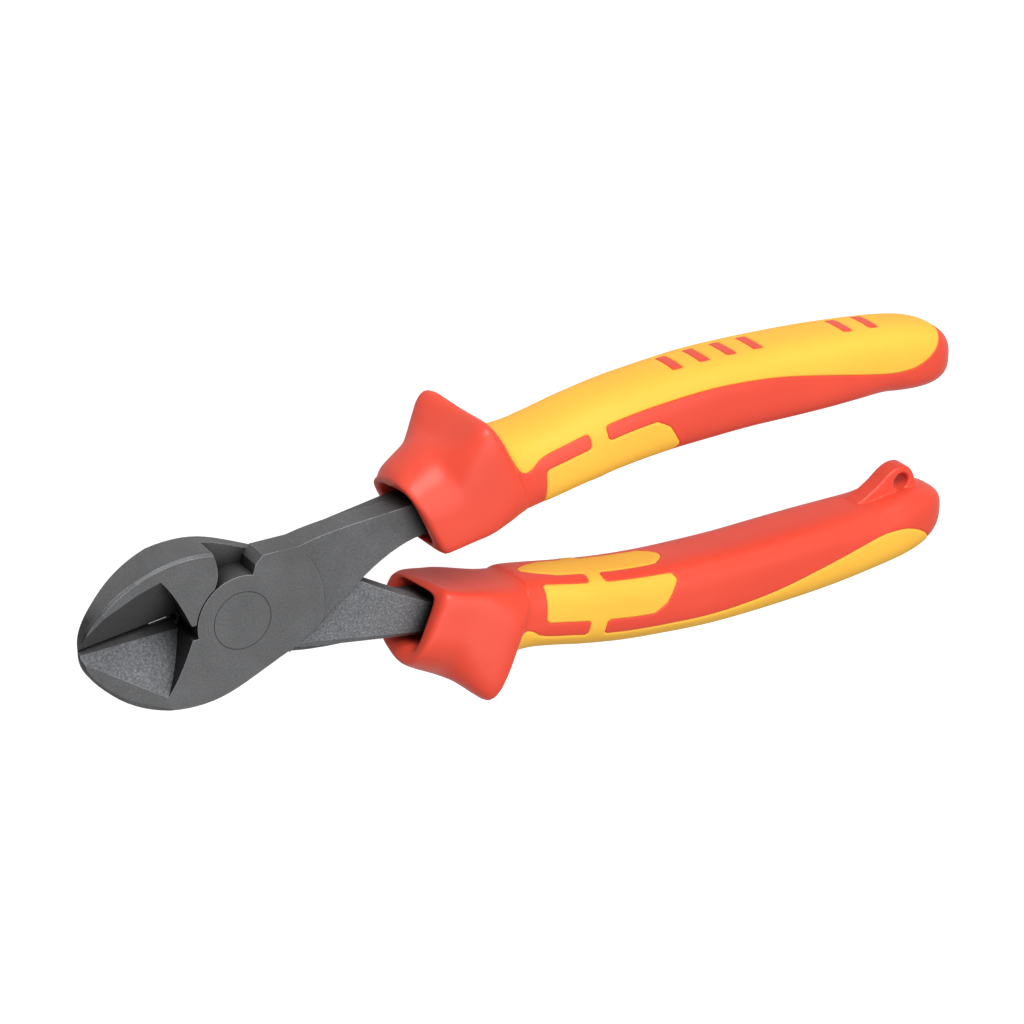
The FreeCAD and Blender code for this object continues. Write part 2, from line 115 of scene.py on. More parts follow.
# The lip, rolling from the mouth over the front rim to the outside.
LIP = [
    (39.3, 11.0, 5.4, 5.4, 6.3, 5.5, 6.5, 0.40, 0.10, 0.10),
    (38.4, 11.0, 5.6, 5.5, 6.4, 5.0, 6.5, 0.42, 0.10, 0.11),
    (38.0, 11.1, 6.0, 5.8, 7.0, 4.4, 6.5, 0.44, 0.09, 0.14, -0.03),
    (37.9, 11.2, 6.8, 6.2, 8.2, 3.6, 6.5, 0.46, 0.08, 0.19, -0.08),
    (38.1, 11.3, 7.5, 6.5, 9.1, 3.0, 6.5, 0.48, 0.07, 0.24, -0.14),
    (38.6, 11.4, 8.0, 6.7, 9.6, 2.7, 6.5, 0.48, 0.06, 0.25, -0.18),
]
# The collar behind the lip, the guard that flares from it, and the guard's rear foot.
GUARD = [
    (39.6, 11.7, 8.9, 6.8, 9.8, 2.5, 8.0, 0.44, 0.06, 0.15, -0.13),
    (42.0, 12.3, 10.1, 6.9, 10.1, 2.4, 9.0, 0.38, 0.06, 0.08, -0.10),
    (45.4, 13.7, 10.7, 7.5, 10.5, 2.5, 9.0, 0.36, 0.07, 0.03, -0.10),
    (46.5, 14.2, 10.7, 7.8, 10.7, 2.8, 8.6, 0.36, 0.07, 0.02, -0.05),
    (48.4, 15.1, 10.6, 8.3, 11.1, 3.8, 7.0, 0.36, 0.08, 0.01, 0.04),
    (50.6, 16.5, 10.8, 9.2, 11.5, 5.0, 5.0, 0.37, 0.09, -0.02, 0.10),
    (52.4, 17.7, 11.1, 10.0, 11.8, 6.0, 4.0, 0.37, 0.10, -0.04, 0.13),
    (54.0, 18.3, 11.6, 10.3, 11.9, 6.0, 3.4, 0.37, 0.10, -0.05, 0.13),
    (55.5, 18.5, 11.5, 10.2, 11.7, 5.2, 3.2, 0.39, 0.09, -0.06, 0.10),
    (56.7, 18.1, 10.4, 9.8, 11.0, 4.2, 3.1, 0.40, 0.08, -0.05, 0.06),
    (58.0, 17.0, 8.9, 8.8, 9.9, 3.2, 3.0, 0.36, 0.05, -0.02, 0.0),
]
# The grip up to the start of its rounded end.
GRIP = [
    (60.0, 15.9, 7.8, 7.9, 9.2, 2.8, 3.4, 0.26),
    (63.0, 16.1, 7.6, 7.9, 9.0, 2.6, 3.4, 0.12),
    (68.0, 16.9, 7.8, 8.0, 9.0, 2.6, 3.4),
    (75.0, 18.2, 8.1, 8.0, 9.0, 2.6, 3.4),
    (85.0, 19.8, 8.3, 8.0, 9.0, 2.6, 3.4),
    (95.0, 20.8, 8.4, 8.0, 9.0, 2.6, 3.4),
    (105.0, 21.3, 8.4, 8.0, 9.0, 2.9, 3.5),
    (115.0, 21.4, 8.3, 7.9, 8.9, 3.1, 3.5),
    (125.0, 21.2, 8.3, 7.9, 8.8, 3.1, 3.5),
    (135.0, 20.8, 8.3, 7.7, 8.6, 3.1, 3.4),
    (143.0, 20.4, 8.2, 7.4, 8.3, 3.0, 3.2),
    (150.0, 19.9, 8.2, 7.1, 7.9, 2.8, 3.0),
]
END_STEPS = (0.2, 0.4, 0.55, 0.68, 0.79, 0.875, 0.935, 0.972, 0.991, 0.998, 0.9999)
END_FALL = 2.4             # how far the centre line drops over the rounded end
END_POWER = 3.2            # squareness of the rounded end, measured along the handle
END_SHAPE = 2.6            # and across it
ROUND = 192                # vertices round a section
SPACING = 0.75             # mm between sections
INNER_WIDE = 0.3           # share of the WIDE column that the inner side takes
DRAFT = 0.11               # how much wider the inner side is at the front than in the middle
DRAFT_FROM = 8.0           # half thickness of the sections where the draft starts
DRAFT_FULL = 9.6           # and where it has its full value
TINY = 1e-9                # keeps divisions off zero


def end_rows():
    """Sections of the handle's rounded end, from the last grip section to the tip."""
    last = GRIP[-1]
    length = HANDLE_END - last[X]
    rows = []
    for step in END_STEPS:
        size = (1 - step ** END_POWER) ** (1 / END_SHAPE)
        rows.append((last[X] + length * step, last[Y] - END_FALL * step,
                     last[OUT] * size, last[INN] * size, last[HALF] * size,
                     last[P_OUT], last[P_IN]))
    return rows


def full(rows):
    """The rows as a table, with 0 for the last columns where a row leaves them out."""
    return np.array([row + (0.0,) * (HORN + 1 - len(row)) for row in rows])


def smooth_rows(rows, spacing):
    """Rows along a smooth curve through the given rows, about spacing apart."""
    table = full(rows)
    ends = np.vstack([2 * table[0] - table[1], table, 2 * table[-1] - table[-2]])
    out = []
    for i in range(len(table) - 1):
        p0, p1, p2, p3 = ends[i:i + 4]
        span = np.linalg.norm((p2 - p1)[LENGTHS])
        before = max(np.linalg.norm((p1 - p0)[LENGTHS]), TINY)
        after = max(np.linalg.norm((p3 - p2)[LENGTHS]), TINY)
        m1 = ((p1 - p0) / before + (p2 - p1) / span) / 2 * span
        m2 = ((p3 - p2) / after + (p2 - p1) / span) / 2 * span
        count = max(1, int(round(span / spacing)))
        for k in range(count):
            t = k / count
            out.append((2 * t ** 3 - 3 * t ** 2 + 1) * p1 + (t ** 3 - 2 * t ** 2 + t) * m1
                       + (3 * t ** 2 - 2 * t ** 3) * p2 + (t ** 3 - t ** 2) * m2)
    out.append(table[-1])
    return np.array(out)


def section_points(rows, turns):
    """Grid of points: one row per section, one column per angle from the outer side."""
    c = np.cos(turns)
    s = np.sin(turns)
    across = np.where(c >= 0, rows[:, OUT, None], rows[:, INN, None])
    power = np.where(c >= 0, rows[:, P_OUT, None], rows[:, P_IN, None])
    radius = (np.abs(c / across) ** power
              + np.abs(s / rows[:, HALF, None]) ** power) ** (-1 / power)
    dz = radius * s
    height = dz / rows[:, HALF, None]
    draft = DRAFT * np.clip((rows[:, HALF, None] - DRAFT_FROM) / (DRAFT_FULL - DRAFT_FROM), 0, 1)
    outer = rows[:, WIDE, None] * height + rows[:, HORN, None] * height ** 2
    inner = (draft + INNER_WIDE * rows[:, WIDE, None]) * height
    dy = radius * c * (1 + np.where(c >= 0, outer, inner))
    x = rows[:, X, None] - rows[:, SLANT, None] * dy + rows[:, LEAN, None] * dz
    return np.stack([x, rows[:, Y, None] + dy, dz], axis=2)


def grid_normals(points):
    """Outward unit normals of a grid that closes round its columns."""
    along = np.gradient(points, axis=0)
    across = np.roll(points, -1, axis=1) - np.roll(points, 1, axis=1)
    normal = np.cross(across, along)
    return normal / np.maximum(np.linalg.norm(normal, axis=2, keepdims=True), TINY)


def grid_triangles(rows, columns):
    """Triangles of a grid that closes round its columns."""
    i, j = np.meshgrid(np.arange(rows - 1), np.arange(columns), indexing="ij")
    a = i * columns + j
    b = i * columns + (j + 1) % columns
    c = a + columns
    d = b + columns
    return np.concatenate([np.stack([a, b, d], -1).reshape(-1, 3),
                           np.stack([a, d, c], -1).reshape(-1, 3)])


# ------------------------------------------------------------------ colour fields
# Outlines on the unrolled skin: x along the tool, w round it from the middle of the outer
# side (the girth), in mm. Inner outlines count w from the middle of the inner side instead.
CORNER = 0.8               # rounding of the fields' corners
BLEND = 0.9                # rounding of the inner corners where two fields meet
RIM_BACK = 57.9            # the guard's rear foot, where the yellow starts
RIM_SLOPE = 0.41           # how the foot slants back towards the inner side
RIM_Y = 17.0               # y of the foot's middle
BEYOND = -30.0             # closes an outline beyond the middle line that it mirrors about
CURVE_STEPS = 6            # straight pieces between two points of a rounded outline
BAND = [(50.0, 9.9), (56.6, 10.4), (59.5, 11.9), (61.5, 11.3), (64.0, 9.7), (70.0, 9.3),
        (91.0, 9.3), (106.0, 9.7), (120.6, 10.7), (135.0, 12.7), (145.0, 13.8),
        (151.5, 13.9), (156.5, 12.6), (160.5, 9.3), (163.0, 4.6), (163.9, 0.0)]
SIDE = [(66.0, 14.2), (90.6, 14.2), (93.4, 16.0), (95.8, 20.2), (95.2, 21.1), (66.2, 21.1)]
INNER = [(64.6, 0.4), (66.5, 1.7), (69.5, 2.8), (72.5, 3.3), (91.5, 3.3), (94.6, 2.4),
         (96.2, 0.9), (96.6, 0.0)]
BRIDGE = [(75.2, 6.0), (76.6, 14.6), (77.9, 30.0), (79.4, 30.0), (78.9, 14.6), (77.4, 6.0)]
BARS = (99.0, 105.5, 112.0, 118.5, 141.0, 147.5)
BAR_HALF_LENGTH = 1.2      # the raised red bars on the outer side, along the tool
BAR_HALF_WIDTH = 3.6       # and round the section


def inside(outline, x, w):
    """Distance into a closed outline, negative outside it."""
    px = x.ravel()
    pw = w.ravel()
    best = np.full(px.shape, np.inf)
    crossings = np.zeros(px.shape, bool)
    for (x0, w0), (x1, w1) in zip(outline, outline[1:] + outline[:1]):
        ex = x1 - x0
        ew = w1 - w0
        t = np.clip(((px - x0) * ex + (pw - w0) * ew) / max(ex * ex + ew * ew, TINY), 0, 1)
        best = np.minimum(best, np.hypot(px - x0 - t * ex, pw - w0 - t * ew))
        if w0 != w1:
            between = (pw < w0) != (pw < w1)
            crossings ^= between & (px < x0 + (pw - w0) * ex / ew)
    return np.where(crossings, best, -best).reshape(x.shape)


def rounded(points):
    """The outline as a smooth curve through its points."""
    pts = np.array(points, float)
    ends = np.vstack([2 * pts[0] - pts[1], pts, 2 * pts[-1] - pts[-2]])
    out = []
    for i in range(len(pts) - 1):
        p0, p1, p2, p3 = ends[i:i + 4]
        for k in range(CURVE_STEPS):
            t = k / CURVE_STEPS
            out.append(0.5 * (2 * p1 + (p2 - p0) * t + (2 * p0 - 5 * p1 + 4 * p2 - p3) * t * t
                              + (3 * p1 - p0 - 3 * p2 + p3) * t ** 3))
    out.append(pts[-1])
    return [tuple(p) for p in out]


def closed(outline):
    """The outline with straight sides down past the line that it mirrors about."""
    return outline + [(outline[-1][0], BEYOND), (outline[0][0], BEYOND)]


def join(a, b):
    """Union of two fields, with the inner corners where they meet rounded."""
    return np.maximum(a, b) + np.maximum(BLEND - np.abs(a - b), 0) ** 2 / (4 * BLEND)


def colour_field(points):
    """Distance into the yellow fields for each point of the skin's grid, in mm."""
    columns = points.shape[1]
    steps = np.linalg.norm(np.diff(points[:, :columns // 2 + 1], axis=1), axis=2)
    girth = np.concatenate([np.zeros((len(points), 1)), np.cumsum(steps, axis=1)], axis=1)
    w = np.concatenate([girth, girth[:, -2:0:-1]], axis=1)
    half = girth[:, -1:]
    x = points[..., 0]
    start = x + RIM_SLOPE * (points[..., 1] - RIM_Y) - RIM_BACK
    field = np.minimum(inside(closed(rounded(BAND)), x, w) + CORNER, start)
    for middle in BARS:
        bar = np.maximum(np.abs(x - middle) - BAR_HALF_LENGTH, w - BAR_HALF_WIDTH)
        field = np.minimum(field, bar)
    for outline in (SIDE, BRIDGE):
        field = join(field, inside(outline, x, w) + CORNER)
    return join(field, inside(closed(rounded(INNER)), x, half - w) + CORNER)


# ------------------------------------------------------------------ cutting a mesh by a field
PLACE = slice(0, 3)        # columns of a sheet's vertex table
NORMAL = slice(3, 6)
FIELD = 6
ON_LINE = 1e-4             # field values this close to a cut count as on it, in mm


class Sheet:
    """A triangle mesh with a position, a normal and a field value at every vertex."""

    def __init__(self, points, normals, field, triangles):
        self.data = np.column_stack([points, normals, field])
        self.triangles = triangles

    def split(self, level):
        """Cuts the triangles along the line where the field has this value."""
        field = self.data[:, FIELD] - level
        field[np.abs(field) < ON_LINE] = 0.0
        sign = np.sign(field)
        corner = sign[self.triangles]
        crossed = (corner.min(1) < 0) & (corner.max(1) > 0)
        kept = self.triangles[~crossed].tolist()
        rows = []
        seen = {}
        base = len(self.data)

        def cut(a, b):
            key = (min(a, b), max(a, b))
            if key not in seen:
                t = field[a] / (field[a] - field[b])
                rows.append(self.data[a] + t * (self.data[b] - self.data[a]))
                seen[key] = base + len(rows) - 1
            return seen[key]

        for tri in self.triangles[crossed].tolist():
            for k in range(3):
                a, b, c = tri[k], tri[(k + 1) % 3], tri[(k + 2) % 3]
                if sign[a] * sign[b] < 0 and sign[a] * sign[c] < 0:
                    ab, ac = cut(a, b), cut(a, c)
                    kept += [[a, ab, ac], [ab, b, c], [ab, c, ac]]
                    break
                if sign[a] == 0 and sign[b] * sign[c] < 0:
                    bc = cut(b, c)
                    kept += [[a, b, bc], [a, bc, c]]
                    break
        if rows:
            self.data = np.vstack([self.data, np.array(rows)])
        self.triangles = np.array(kept, dtype=int)

    def trim(self):
        """Keeps only the triangles that lie in the field."""
        middle = self.data[self.triangles, FIELD].mean(1)
        self.triangles = self.triangles[middle > 0]
        used = np.unique(self.triangles)
        place = np.full(len(self.data), -1)
        place[used] = np.arange(len(used))
        self.data = self.data[used]
        self.triangles = place[self.triangles]

    def raised(self, profile):
        """Vertex positions moved along the normals by a profile of the field."""
        return self.data[:, PLACE] + self.data[:, NORMAL] * profile(self.data[:, FIELD])[:, None]

    def rim(self):
        """Edges with one triangle only, in that triangle's direction."""
        edges = {}
        for tri in self.triangles.tolist():
            for k in range(3):
                edges[(tri[k], tri[(k + 1) % 3])] = True
        return [e for e in edges if (e[1], e[0]) not in edges]


# Height of the surface over the skin against the distance into a yellow field, both in mm:
# the sleeve sinks under the field, and the soft grip rises from the groove round it.
SEAM = ((-0.30, 0.0), (-0.16, -0.025), (-0.06, -0.09), (0.0, -0.2), (0.05, -1.1), (50, -1.1))
CROWN = ((-1, -0.22), (0.0, -0.22), (0.05, -0.12), (0.12, -0.04), (0.25, 0.03), (0.5, 0.07),
         (1.0, 0.09), (50, 0.09))
GRIP_THICK = 1.0


def profile_of(table):
    """Function that reads a height table at any distance."""
    distances, heights = zip(*table)
    return lambda field: np.interp(field, distances, heights)


# ------------------------------------------------------------------ meshes
def placed(points, mirror):
    """Millimetres from the pivot to metres in the frame; the lower handle is mirrored."""
    out = np.array(points, float)
    if mirror:
        out[:, 1] = -out[:, 1]
    return out * MM + PIVOT


def make_object(name, points, faces, material, body, mirror):
    """Smooth-shaded piece that rides a body and takes a material."""
    faces = [list(f)[::-1] for f in faces] if mirror else [list(f) for f in faces]
    mesh = bpy.data.meshes.new(name)
    mesh.from_pydata(placed(points, mirror).tolist(), [], faces)
    mesh.validate()
    mesh.shade_smooth()
    mesh.materials.append(material)
    obj = bpy.data.objects.new(name, mesh)
    bpy.context.scene.collection.objects.link(obj)
    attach(obj, body)
    return obj


TURNS = np.linspace(0, 2 * math.pi, ROUND, endpoint=False)


def handle_sheet():
    """The handle's outer skin from the lip to the end, with its colour field."""
    rows = smooth_rows(LIP[-1:] + GUARD + GRIP + end_rows(), SPACING)
    points = section_points(rows, TURNS)
    return points, grid_normals(points), colour_field(points)


def sleeve_mesh(points, normals, field):
    """Hard sleeve: the skin with beds for the soft grip, the lip, the bore and the end."""
    count = points.shape[0]
    sheet = Sheet(points.reshape(-1, 3), normals.reshape(-1, 3), field.ravel(),
                  grid_triangles(count, ROUND))
    first_ring = list(range(ROUND))
    last_ring = list(range((count - 1) * ROUND, count * ROUND))
    for level, _ in SEAM[:-1]:
        sheet.split(level)
    verts = sheet.raised(profile_of(SEAM))
    faces = sheet.triangles.tolist()
    inner_rows = smooth_rows(BORE + MOUTH + LIP, SPACING)
    inner = section_points(inner_rows, TURNS)[:-1]
    base = len(verts)
    verts = np.vstack([verts, inner.reshape(-1, 3)])
    faces += (grid_triangles(len(inner), ROUND) + base).tolist()
    seam = [base + (len(inner) - 1) * ROUND + k for k in range(ROUND)]
    faces += bridge(seam, first_ring)
    faces.append([base + k for k in range(ROUND)][::-1])
    faces.append(last_ring)
    return verts, faces


def bridge(a, b):
    """Triangles between two rings of the same length."""
    n = len(a)
    out = []
    for k in range(n):
        j = (k + 1) % n
        out += [[a[k], a[j], b[j]], [a[k], b[j], b[k]]]
    return out


def shell(sheet, top, bottom):
    """Closed solid between two copies of a sheet, with walls along the sheet's rim."""
    n = len(top)
    faces = sheet.triangles.tolist() + (sheet.triangles[:, ::-1] + n).tolist()
    for a, b in sheet.rim():
        faces += [[b, a, a + n], [b, a + n, b + n]]
    return np.vstack([top, bottom]), faces


def grip_mesh(points, normals, field):
    """Soft grip: every yellow field as one closed shell with rounded edges."""
    sheet = Sheet(points.reshape(-1, 3), normals.reshape(-1, 3), field.ravel(),
                  grid_triangles(points.shape[0], ROUND))
    for level, _ in CROWN[1:-1]:
        sheet.split(level)
    sheet.trim()
    top = sheet.raised(profile_of(CROWN))
    bottom = sheet.data[:, PLACE] - sheet.data[:, NORMAL] * GRIP_THICK
    return shell(sheet, top, bottom)


# ------------------------------------------------------------------ tether eye
# The eye is drawn on the upper handle's side, so the y of its hole changes sign.
EYE = next(mount for mount in frame["record"]["mounts"] if mount["name"] == "tether_eye")
EYE_X = (EYE["pos_m"][0] - PIVOT[0]) / MM
EYE_Y = (PIVOT[1] - EYE["pos_m"][1]) / MM
EYE_RADIUS = EYE["dims"]["r_mm"]
EYE_THICK = 4.4
EYE_ROUND = 0.55           # rounding of the fin's edges
EYE_ROUND_LEVELS = (0.0, 0.04, 0.12, 0.25, 0.45, EYE_ROUND)
EYE_BLEND = 1.3            # size of the fillet between the fin and the handle
EYE_SINK = 0.03            # how far the eye's own copy of the skin lies under the handle's
EYE_STEP = 0.22            # spacing of its vertices
EYE_SPAN_X = (-17.0, 9.0)  # reach of its grid from the hole
EYE_SPAN_Y = (-4.5, 6.0)
SKIN_POWER = 2.75          # squareness of the plain grip under the fin
SKIN_EDGE = 0.4            # the fillet needs at least this much handle beside the fin
# The fin's outline, measured from the hole's centre.
EYE_OUTLINE = [(-16.0, 8.0), (-12.6, 3.4), (-9.6, 1.7), (-6.4, -0.2), (-3.4, -2.5), (-0.9, -3.5),
               (1.5, -3.2), (3.1, -1.4), (4.0, 1.0), (5.2, 3.0), (8.0, 8.0)]


def handle_half_thickness(x, y):
    """z of the plain grip's front skin over a point of the middle plane, 0 outside it."""
    rows = full(GRIP + end_rows())
    centre, out, inn, half = [np.interp(x, rows[:, X], rows[:, k]) for k in (Y, OUT, INN, HALF)]
    dy = y - centre
    across = np.where(dy >= 0, out, inn)
    left = np.clip(1 - np.abs(dy / np.maximum(across, TINY)) ** SKIN_POWER, 0, 1)
    return half * left ** (1 / SKIN_POWER)


def eye_mesh():
    """Fin with the tether hole, drawn for the upper handle's side and mirrored later."""
    xs = np.arange(EYE_X + EYE_SPAN_X[0], EYE_X + EYE_SPAN_X[1], EYE_STEP)
    ys = np.arange(EYE_Y + EYE_SPAN_Y[0], EYE_Y + EYE_SPAN_Y[1], EYE_STEP)
    x, y = np.meshgrid(xs, ys, indexing="ij")
    outline = [(EYE_X + a, EYE_Y + b) for a, b in rounded(EYE_OUTLINE)]
    field = np.minimum(inside(outline, x, y), np.hypot(x - EYE_X, y - EYE_Y) - EYE_RADIUS)
    points = np.stack([x, y, np.zeros_like(x)], 2).reshape(-1, 3)
    rows, columns = x.shape
    i, j = np.meshgrid(np.arange(rows - 1), np.arange(columns - 1), indexing="ij")
    a = (i * columns + j).ravel()
    triangles = np.concatenate([np.stack([a, a + columns, a + columns + 1], -1),
                                np.stack([a, a + columns + 1, a + 1], -1)])
    sheet = Sheet(points, np.zeros_like(points), field.ravel(), triangles)
    for level in EYE_ROUND_LEVELS:
        sheet.split(level)
    sheet.trim()
    inset = np.clip(EYE_ROUND - sheet.data[:, FIELD], 0, EYE_ROUND)
    fin = EYE_THICK / 2 - EYE_ROUND + np.sqrt(EYE_ROUND ** 2 - inset ** 2)
    flat = sheet.data[:, :2]
    skin = handle_half_thickness(flat[:, 0], flat[:, 1]) - EYE_SINK
    apart = np.maximum(EYE_BLEND - np.abs(fin - skin), 0)
    fillet = np.where(skin > SKIN_EDGE, apart ** 2 / (4 * EYE_BLEND), 0)
    height = np.maximum(fin, skin) + fillet
    return shell(sheet, np.column_stack([flat, height]), np.column_stack([flat, -height]))


# ------------------------------------------------------------------ materials
EDGE_SAMPLES = 4           # rays that feel for edges and hollows


class Nodes:
    """Short-hand for building a material's node tree."""

    def __init__(self, name):
        self.material = bpy.data.materials.new(name)
        self.material.use_nodes = True
        self.tree = self.material.node_tree
        self.shader = self.tree.nodes["Principled BSDF"]
        coords = self.tree.nodes.new("ShaderNodeTexCoord")
        self.place = coords.outputs["Object"]
        self.normal = coords.outputs["Normal"]

    def link(self, source, target):
        """Feeds an output into an input."""
        self.tree.links.new(source, target)

    def set(self, **values):
        """Sets plain inputs of the shader, named with _ for each space."""
        for name, value in values.items():
            self.shader.inputs[name.replace("_", " ")].default_value = value

    def noise(self, scale, detail, rough):
        """Cloudy 0 to 1 pattern; the scale is in cells per metre."""
        node = self.tree.nodes.new("ShaderNodeTexNoise")
        node.inputs["Scale"].default_value = scale
        node.inputs["Detail"].default_value = detail
        node.inputs["Roughness"].default_value = rough
        self.link(self.place, node.inputs["Vector"])
        return node.outputs["Fac"]

    def ramp(self, source, stops):
        """Colour looked up from (position, colour) stops."""
        node = self.tree.nodes.new("ShaderNodeValToRGB")
        elements = node.color_ramp.elements
        while len(elements) < len(stops):
            elements.new(0.5)
        for element, (position, colour) in zip(elements, stops):
            element.position = position
            element.color = (*colour, 1.0)
        self.link(source, node.inputs["Fac"])
        return node.outputs["Color"]

    def span(self, source, low, high):
        """The 0 to 1 range of a value stretched over low to high."""
        node = self.tree.nodes.new("ShaderNodeMapRange")
        node.inputs["To Min"].default_value = low
        node.inputs["To Max"].default_value = high
        self.link(source, node.inputs["Value"])
        return node.outputs["Result"]

    def mix(self, factor, a, b):
        """Colour a, turning into colour b as the factor grows."""
        node = self.tree.nodes.new("ShaderNodeMix")
        node.data_type = "RGBA"
        if isinstance(factor, float):
            node.inputs["Factor"].default_value = factor
        else:
            self.link(factor, node.inputs["Factor"])
        for socket, value in (("A", a), ("B", b)):
            target = [i for i in node.inputs if i.name == socket and i.type == "RGBA"][0]
            if isinstance(value, tuple):
                target.default_value = (*value, 1.0)
            else:
                self.link(value, target)
        return [o for o in node.outputs if o.type == "RGBA"][0]

    def times(self, a, b):
        """Product of two colours."""
        out = self.mix(1.0, a, b)
        out.node.blend_type = "MULTIPLY"
        return out

    def bump(self, source, strength, distance, after=None):
        """Normal bent by a height pattern, on top of an earlier normal if there is one."""
        node = self.tree.nodes.new("ShaderNodeBump")
        node.inputs["Strength"].default_value = strength
        node.inputs["Distance"].default_value = distance
        self.link(source, node.inputs["Height"])
        if after is not None:
            self.link(after, node.inputs["Normal"])
        return node.outputs["Normal"]

    def soft_edges(self, radius):
        """Normal with every edge rounded by a radius."""
        node = self.tree.nodes.new("ShaderNodeBevel")
        node.samples = EDGE_SAMPLES
        node.inputs["Radius"].default_value = radius
        return node.outputs["Normal"]

    def part(self, vector, axis):
        """One coordinate of a vector."""
        node = self.tree.nodes.new("ShaderNodeSeparateXYZ")
        self.link(vector, node.inputs[0])
        return node.outputs["XYZ".index(axis)]

    def math(self, operation, a, b):
        """Result of one sum on two values, each a number or an output."""
        node = self.tree.nodes.new("ShaderNodeMath")
        node.operation = operation
        for socket, value in zip(node.inputs, (a, b)):
            if isinstance(value, float):
                socket.default_value = value
            else:
                self.link(value, socket)
        return node.outputs[0]

    def off_axis(self):
        """Distance from the pivot's axis."""
        x = self.part(self.place, "X")
        y = self.part(self.place, "Y")
        square = self.math("ADD", self.math("MULTIPLY", x, x), self.math("MULTIPLY", y, y))
        return self.math("SQRT", square, 0.0)

    def past(self, source, start, end):
        """0 before start, 1 past end, even between; start may be the larger one."""
        node = self.tree.nodes.new("ShaderNodeMapRange")
        node.inputs["From Min"].default_value = start
        node.inputs["From Max"].default_value = end
        self.link(source, node.inputs["Value"])
        return node.outputs["Result"]

    def edges(self, soft):
        """Near 1 along sharp edges, where the softened normal leaves the true one."""
        face = self.tree.nodes.new("ShaderNodeNewGeometry").outputs["True Normal"]
        node = self.tree.nodes.new("ShaderNodeVectorMath")
        node.operation = "DOT_PRODUCT"
        self.link(soft, node.inputs[0])
        self.link(face, node.inputs[1])
        return self.past(node.outputs["Value"], 0.985, 0.90)

    def openness(self, distance):
        """1 in the open, falling to 0 in narrow hollows."""
        node = self.tree.nodes.new("ShaderNodeAmbientOcclusion")
        node.samples = EDGE_SAMPLES
        node.inputs["Distance"].default_value = distance
        return node.outputs["AO"]


WHITE = (1.0, 1.0, 1.0)
# Noise patterns: scale, detail, roughness.
STEEL_FINE = (3000.0, 3.0, 0.6)        # the skin of the ground faces
STEEL_COARSE = (2200.0, 3.0, 0.7)      # the grain that blasting leaves
STEEL_CLOUD = (140.0, 4.0, 0.5)        # dull clouds in the oxide
PLASTIC_SKIN = (1500.0, 2.0, 0.5)
PLASTIC_TONE = (45.0, 3.0, 0.5)
# Steel tints, and the shades of them that the grain shows from its low spots up.
GROUND = (0.118, 0.119, 0.122)         # the levers' flat faces
BLASTED = (0.168, 0.173, 0.183)        # the rear lever's neck
BLASTED_JAW = (0.140, 0.144, 0.154)    # the floor of the front lever's hollow
GROUND_SHADES = (0.78, 1.0, 1.28)
BLASTED_SHADES = (0.62, 0.97, 1.55)
# Shares of the colour that are left under painted shade on the faces of the jaw's hollow and in
# narrow hollows, in the oxide's dull clouds and along the rivet's seam.
HOLLOW_FACE_SHADE = (0.22, 0.22, 0.23)             # under the heaviest painted shade, on the faces of the jaw's hollow
NARROW_HOLLOW_SHADE = (0.04, 0.04, 0.04)              # under the painted shade in a narrow hollow
CLOUD = (0.80, 0.80, 0.80)             # in the dull clouds
SEAM_LINE = (0.35, 0.35, 0.35)         # on the line round the rivet
SEAM_WIDTH = 0.16
WORN_EDGE_HIGHLIGHT_TINT = 3.1                        # how much lighter worn edges, with their painted highlight, are than ground faces
STEEL_EDGE = 0.22                      # rounding of the forgings' edges
SHADED_HOLLOW_SIZE = 10.0                     # hollows narrower than this get painted shade
FINE_HEIGHT = 0.04                     # heights of the bumps
COARSE_HEIGHT = 0.12
SKIN_HEIGHT = 0.03
# Where a finish, a painted shade or the edges' painted highlight changes: from, to. Off the pivot's
# axis:
WORN_EDGE_HIGHLIGHT_FROM = (7.0, 8.0)                 # worn edges with their painted highlight set in
# Along the tool:
REAR_NECK = (8.0, 9.0)                 # the rear lever's blasted neck starts
FRONT_NECK = (15.5, 18.5)              # the front lever's lightly blasted neck starts
FRONT_NECK_SHARE = 0.22
FLOOR_AHEAD = (-8.0, -9.0)             # the hollow's floor lies ahead of this
JAW_AHEAD = (-4.0, -5.0)               # the whole hollow lies ahead of this
NOWHERE = (1000.0, 2000.0)             # far beyond the tool
# In the parts of a face's normal that tell the faces of the hollow apart, for the blasted floor and
# for the painted shade on the heel wall and the floor:
FLOOR_Y = ((0.30, 0.38), (0.72, 0.62))
WALL_X = (-0.70, -0.82)
SHADED_Y = (-0.30, -0.42)
SHADED_Z = (0.40, 0.50)
SHADED_SHARE = 0.5


def shades(tint, factors):
    """The tint made darker or lighter by each factor."""
    return [tuple(min(1.0, c * f) for c in tint) for f in factors]


